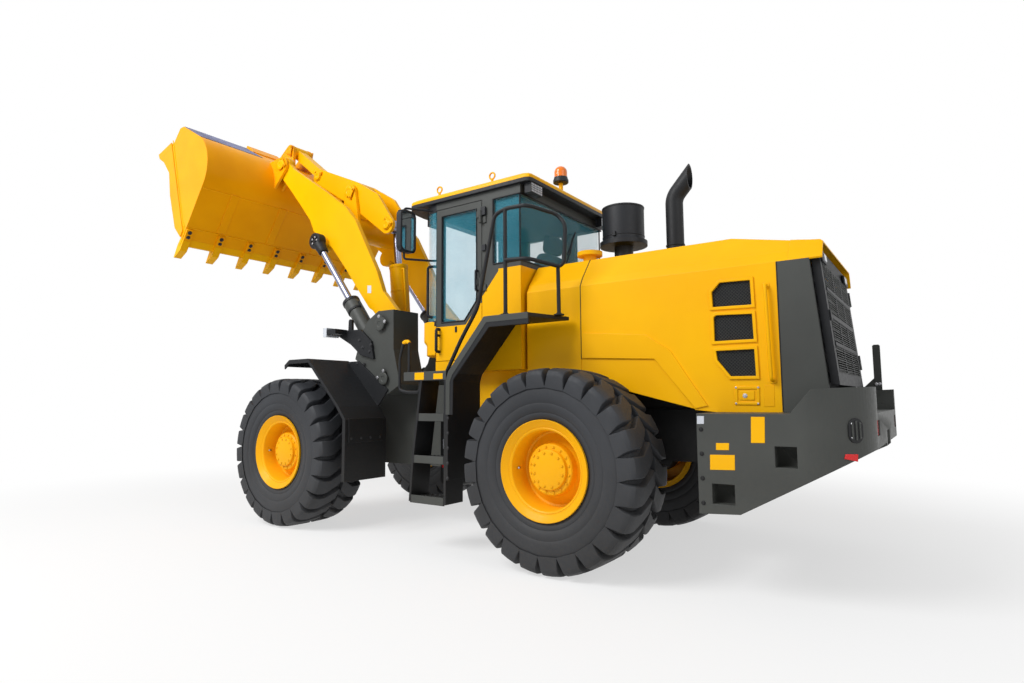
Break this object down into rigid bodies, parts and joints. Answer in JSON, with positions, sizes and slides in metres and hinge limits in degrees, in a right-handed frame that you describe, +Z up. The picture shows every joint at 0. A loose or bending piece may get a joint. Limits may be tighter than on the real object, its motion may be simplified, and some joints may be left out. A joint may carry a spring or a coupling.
{
  "type": "wheel loader",
  "caption": "Articulated wheel loader with raised Z-bar boom, toothed bucket, glazed cab, engine hood and counterweight on big tyres.",
  "frame": {"origin": "on the ground under the middle of the overall box", "axes": "+X forward towards the bucket, +Y to the operator's left, +Z up"},
  "size_m": [8.0488, 3.028, 4.965],
  "materials": {
    "amber": "gloss",
    "black": "satin",
    "chrome": "polished",
    "fabric": "matte",
    "glass": "clear",
    "grey": "satin",
    "iron": "matte",
    "lamp": "gloss",
    "mirror": "polished",
    "plastic": "matte",
    "red": "gloss",
    "rim": "gloss",
    "steel": "satin",
    "tyre": "matte",
    "yellow": "gloss"
  },
  "bodies": {
    "rear_frame": {"rear_frame": "black", "rear_axle": "black", "engine_block": "iron", "counterweight": "grey", "hood_front": "yellow", "hood": "yellow", "hood_rear": "grey", "radiator": "iron", "air_intake": "plastic", "exhaust_stack": "black", "cab_tub": "yellow", "cab_frame": "grey", "cab_glass": "glass", "cab_roof": "yellow", "seat": "fabric", "steering_column": "plastic", "walkways": "black", "side_tanks": "black", "hood_vents": "black", "tail_lamps": "red", "ladder": "black", "handrails": "black", "mirror_arms": "plastic", "mirror_glass": "mirror", "work_lamps": "lamp", "beacon_lens": "amber"},
    "front_frame": {"front_frame": "grey", "front_axle": "black", "front_fenders": "black", "lamp_arms": "black", "head_lamps": "lamp"},
    "boom": {"left_boom_arm": "yellow", "right_boom_arm": "yellow", "boom_tie": "yellow"},
    "bucket": {"bucket": "yellow", "bucket_edge": "yellow"},
    "bell_crank": {"bell_crank": "yellow"},
    "bucket_link": {"bucket_link": "yellow"},
    "lift_barrels": {"lift_barrels": "grey"},
    "lift_rods": {"lift_rods": "chrome"},
    "tilt_pin": {"tilt_pin": "steel"},
    "tilt_barrel": {"tilt_barrel": "yellow"},
    "tilt_rod": {"tilt_rod": "chrome"},
    "tilt_eye": {"tilt_eye": "chrome"},
    "cab_door": {"cab_door": "grey", "door_panel": "yellow", "door_glass": "glass"},
    "grille_door": {"grille_door": "black"},
    "front_left_wheel": {"front_left_tyre": "tyre", "front_left_rim": "rim"},
    "front_right_wheel": {"front_right_tyre": "tyre", "front_right_rim": "rim"},
    "rear_left_wheel": {"rear_left_tyre": "tyre", "rear_left_rim": "rim"},
    "rear_right_wheel": {"rear_right_tyre": "tyre", "rear_right_rim": "rim"}
  },
  "joints": [
    {"name": "steering", "type": "hinge", "parent": "rear_frame", "child": "front_frame", "pos_m": [-0.24, 0, 1], "axis": [0, 0, 1], "range_deg": [-35, 35]},
    {"name": "boom", "type": "hinge", "parent": "front_frame", "child": "boom", "pos_m": [0.51, 0, 2.115], "axis": [0, -1, 0], "range_deg": [-80, 0]},
    {"name": "bucket", "type": "hinge", "parent": "boom", "child": "bucket", "pos_m": [2.67, 0, 4.43], "axis": [0, 1, 0], "range_deg": [-134, 0]},
    {"name": "bell_crank", "type": "hinge", "parent": "boom", "child": "bell_crank", "pos_m": [1.74, 0, 3.98], "axis": [0, 1, 0], "range_deg": [0, 46.81]},
    {"name": "bucket_link", "type": "hinge", "parent": "bucket", "child": "bucket_link", "pos_m": [3.11, 0, 4.875], "axis": [0, 1, 0], "range_deg": [0, 50.1]},
    {"name": "lift_swing", "type": "hinge", "parent": "front_frame", "child": "lift_barrels", "pos_m": [0.45, 0, 1.535], "axis": [0, -1, 0], "range_deg": [-71.14, 0]},
    {"name": "lift_stroke", "type": "slide", "parent": "lift_barrels", "child": "lift_rods", "axis": [0.6182, 0, 0.786], "range_m": [-0.6974, 0]},
    {"name": "tilt_follow", "type": "hinge", "parent": "front_frame", "child": "tilt_pin", "pos_m": [0.96, 0, 2], "axis": [0, -1, 0], "range_deg": [-89.08, 0]},
    {"name": "tilt_swing", "type": "hinge", "parent": "tilt_pin", "child": "tilt_barrel", "pos_m": [0.96, 0, 2], "axis": [0, -1, 0], "range_deg": [0, 6.81]},
    {"name": "tilt_stroke", "type": "slide", "parent": "tilt_barrel", "child": "tilt_rod", "axis": [0.0944, 0, 0.9955], "range_m": [0, 0.5603]},
    {"name": "tilt_reach", "type": "slide", "parent": "tilt_rod", "child": "tilt_eye", "axis": [0.0944, 0, 0.9955], "range_m": [-0.381, 0]},
    {"name": "cab_door", "type": "hinge", "parent": "rear_frame", "child": "cab_door", "pos_m": [-0.877, 0.824, 2.4], "axis": [0, 0, 1], "range_deg": [0, 90]},
    {"name": "grille_door", "type": "hinge", "parent": "rear_frame", "child": "grille_door", "pos_m": [-3.765, -0.706, 1.866], "axis": [0.0937, 0, 0.9956], "range_deg": [0, 100]},
    {"name": "front_left_wheel", "type": "hinge", "parent": "front_frame", "child": "front_left_wheel", "pos_m": [1.41, 1.095, 0.775], "axis": [0, 1, 0], "continuous": true},
    {"name": "front_right_wheel", "type": "hinge", "parent": "front_frame", "child": "front_right_wheel", "pos_m": [1.41, -1.095, 0.775], "axis": [0, 1, 0], "continuous": true},
    {"name": "rear_left_wheel", "type": "hinge", "parent": "rear_frame", "child": "rear_left_wheel", "pos_m": [-1.89, 1.095, 0.775], "axis": [0, 1, 0], "continuous": true},
    {"name": "rear_right_wheel", "type": "hinge", "parent": "rear_frame", "child": "rear_right_wheel", "pos_m": [-1.89, -1.095, 0.775], "axis": [0, 1, 0], "continuous": true}
  ],
  "couplings": [
    {"joint": "bell_crank", "follows": "bucket", "ratio": -0.34929},
    {"joint": "bucket_link", "follows": "bucket", "ratio": -0.37379},
    {"joint": "lift_swing", "follows": "boom", "ratio": 0.88909},
    {"joint": "lift_stroke", "follows": "boom", "m_per_rad": 0.49872},
    {"joint": "tilt_follow", "follows": "boom", "ratio": 1.1133},
    {"joint": "tilt_swing", "follows": "bucket", "ratio": -0.050713},
    {"joint": "tilt_stroke", "follows": "bucket", "m_per_rad": -0.23914},
    {"joint": "tilt_reach", "follows": "boom", "m_per_rad": 0.27215}
  ]
}
